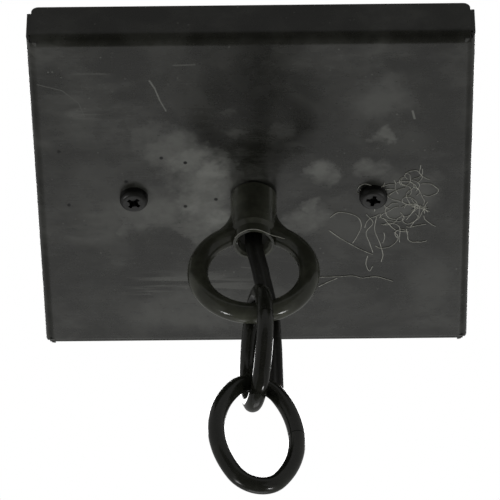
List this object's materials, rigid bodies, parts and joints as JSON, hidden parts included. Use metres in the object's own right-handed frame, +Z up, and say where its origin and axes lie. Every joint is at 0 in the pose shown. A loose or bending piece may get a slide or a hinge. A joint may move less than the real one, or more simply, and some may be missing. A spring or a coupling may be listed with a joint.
{
  "type": "square ceiling canopy with loop and chain",
  "caption": "Square ceiling canopy with a screwed neck loop, hanging oval chain links, a flat supply cord, and the mounting strap and splices inside it.",
  "frame": {"origin": "middle of the ceiling plane, at the centre between the strap's two box screw slots", "axes": "+Z up into the ceiling, everything hangs towards -Z; the strap and the two canopy screws lie along X"},
  "size_m": [0.127, 0.127, 0.133],
  "materials": {
    "canopy_black": "satin black powder coat",
    "loop_black": "semi-gloss black enamel on cast metal",
    "link_black": "semi-gloss black enamel on bent wire",
    "screw_black": "black painted screw",
    "strap_zinc": "zinc plated",
    "washer_zinc": "zinc plated",
    "nipple_brass": "turned brass",
    "bushing_black": "moulded nylon",
    "cord_black": "soft PVC, slightly dusty",
    "core_black": "PVC insulation",
    "core_white": "PVC insulation",
    "nut_orange": "moulded nylon",
    "nut_green": "moulded nylon",
    "ground_green": "green dyed steel",
    "ground_core": "green PVC insulation",
    "terminal_copper": "tinned copper, worn"
  },
  "bodies": {
    "canopy": {"canopy_pan": "canopy_black", "mounting_strap": "strap_zinc", "canopy_screw_left": "screw_black", "canopy_screw_right": "screw_black", "neck_loop": "loop_black", "nipple": "nipple_brass", "flat_washer": "washer_zinc", "lock_washer": "washer_zinc", "hex_nut": "nipple_brass", "cord_bushing": "bushing_black", "supply_cord": "cord_black", "lead_black": "core_black", "lead_white": "core_white", "wire_nut_black": "nut_orange", "wire_nut_white": "nut_orange", "ground_screw": "ground_green", "ground_terminal": "terminal_copper", "ground_wire": "ground_core", "wire_nut_ground": "nut_green"},
    "link_1": {"link_1": "link_black"},
    "link_2": {"link_2": "link_black"}
  },
  "joints": [
    {"name": "link_1_swing", "type": "hinge", "parent": "canopy", "child": "link_1", "pos_m": [0.0008, 0, -0.06035], "axis": [1, 0, 0], "range_deg": [-60, 60], "deforming": ["supply_cord"]},
    {"name": "link_2_swing", "type": "hinge", "parent": "link_1", "child": "link_2", "pos_m": [0.0008, 0, -0.0924], "axis": [0.225, -0.9744, 0], "range_deg": [-60, 60]}
  ]
}
